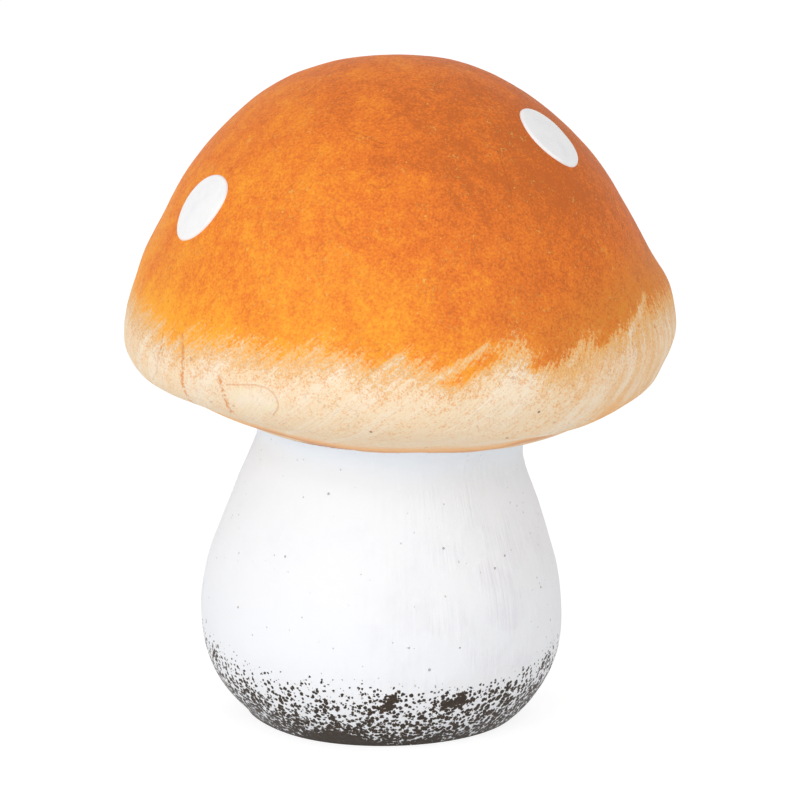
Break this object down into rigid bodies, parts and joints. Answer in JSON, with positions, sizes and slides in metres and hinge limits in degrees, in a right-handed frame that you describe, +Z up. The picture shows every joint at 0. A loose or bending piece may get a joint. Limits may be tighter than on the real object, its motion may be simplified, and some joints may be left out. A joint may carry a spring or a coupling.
{
  "type": "ceramic mushroom ornament",
  "caption": "Free-standing hollow pottery mushroom with a domed cap on a bulbous, slightly leaning stem, raised enamel spots and a flat foot.",
  "frame": {"origin": "where the stem's axis meets the level foot, on the surface that the ornament stands on", "axes": "+Z up through the cap, -Y to the front, +X to the side that the stem leans to"},
  "size_m": [0.0909, 0.091, 0.1099],
  "materials": {
    "stem_ceramic": "matte brushed white, speckled dark brown towards the foot",
    "cap_ceramic": "satin mottled orange, brushed out to cream and tan at the rim",
    "luting_slip": "matte white slip, tinted tan where it meets the cap",
    "spot_enamel": "glossy white"
  },
  "bodies": {
    "root": {"stem": "stem_ceramic", "cap": "cap_ceramic", "luting_ring": "luting_slip", "spot_left": "spot_enamel", "spot_right": "spot_enamel", "spot_back": "spot_enamel"}
  },
  "joints": []
}
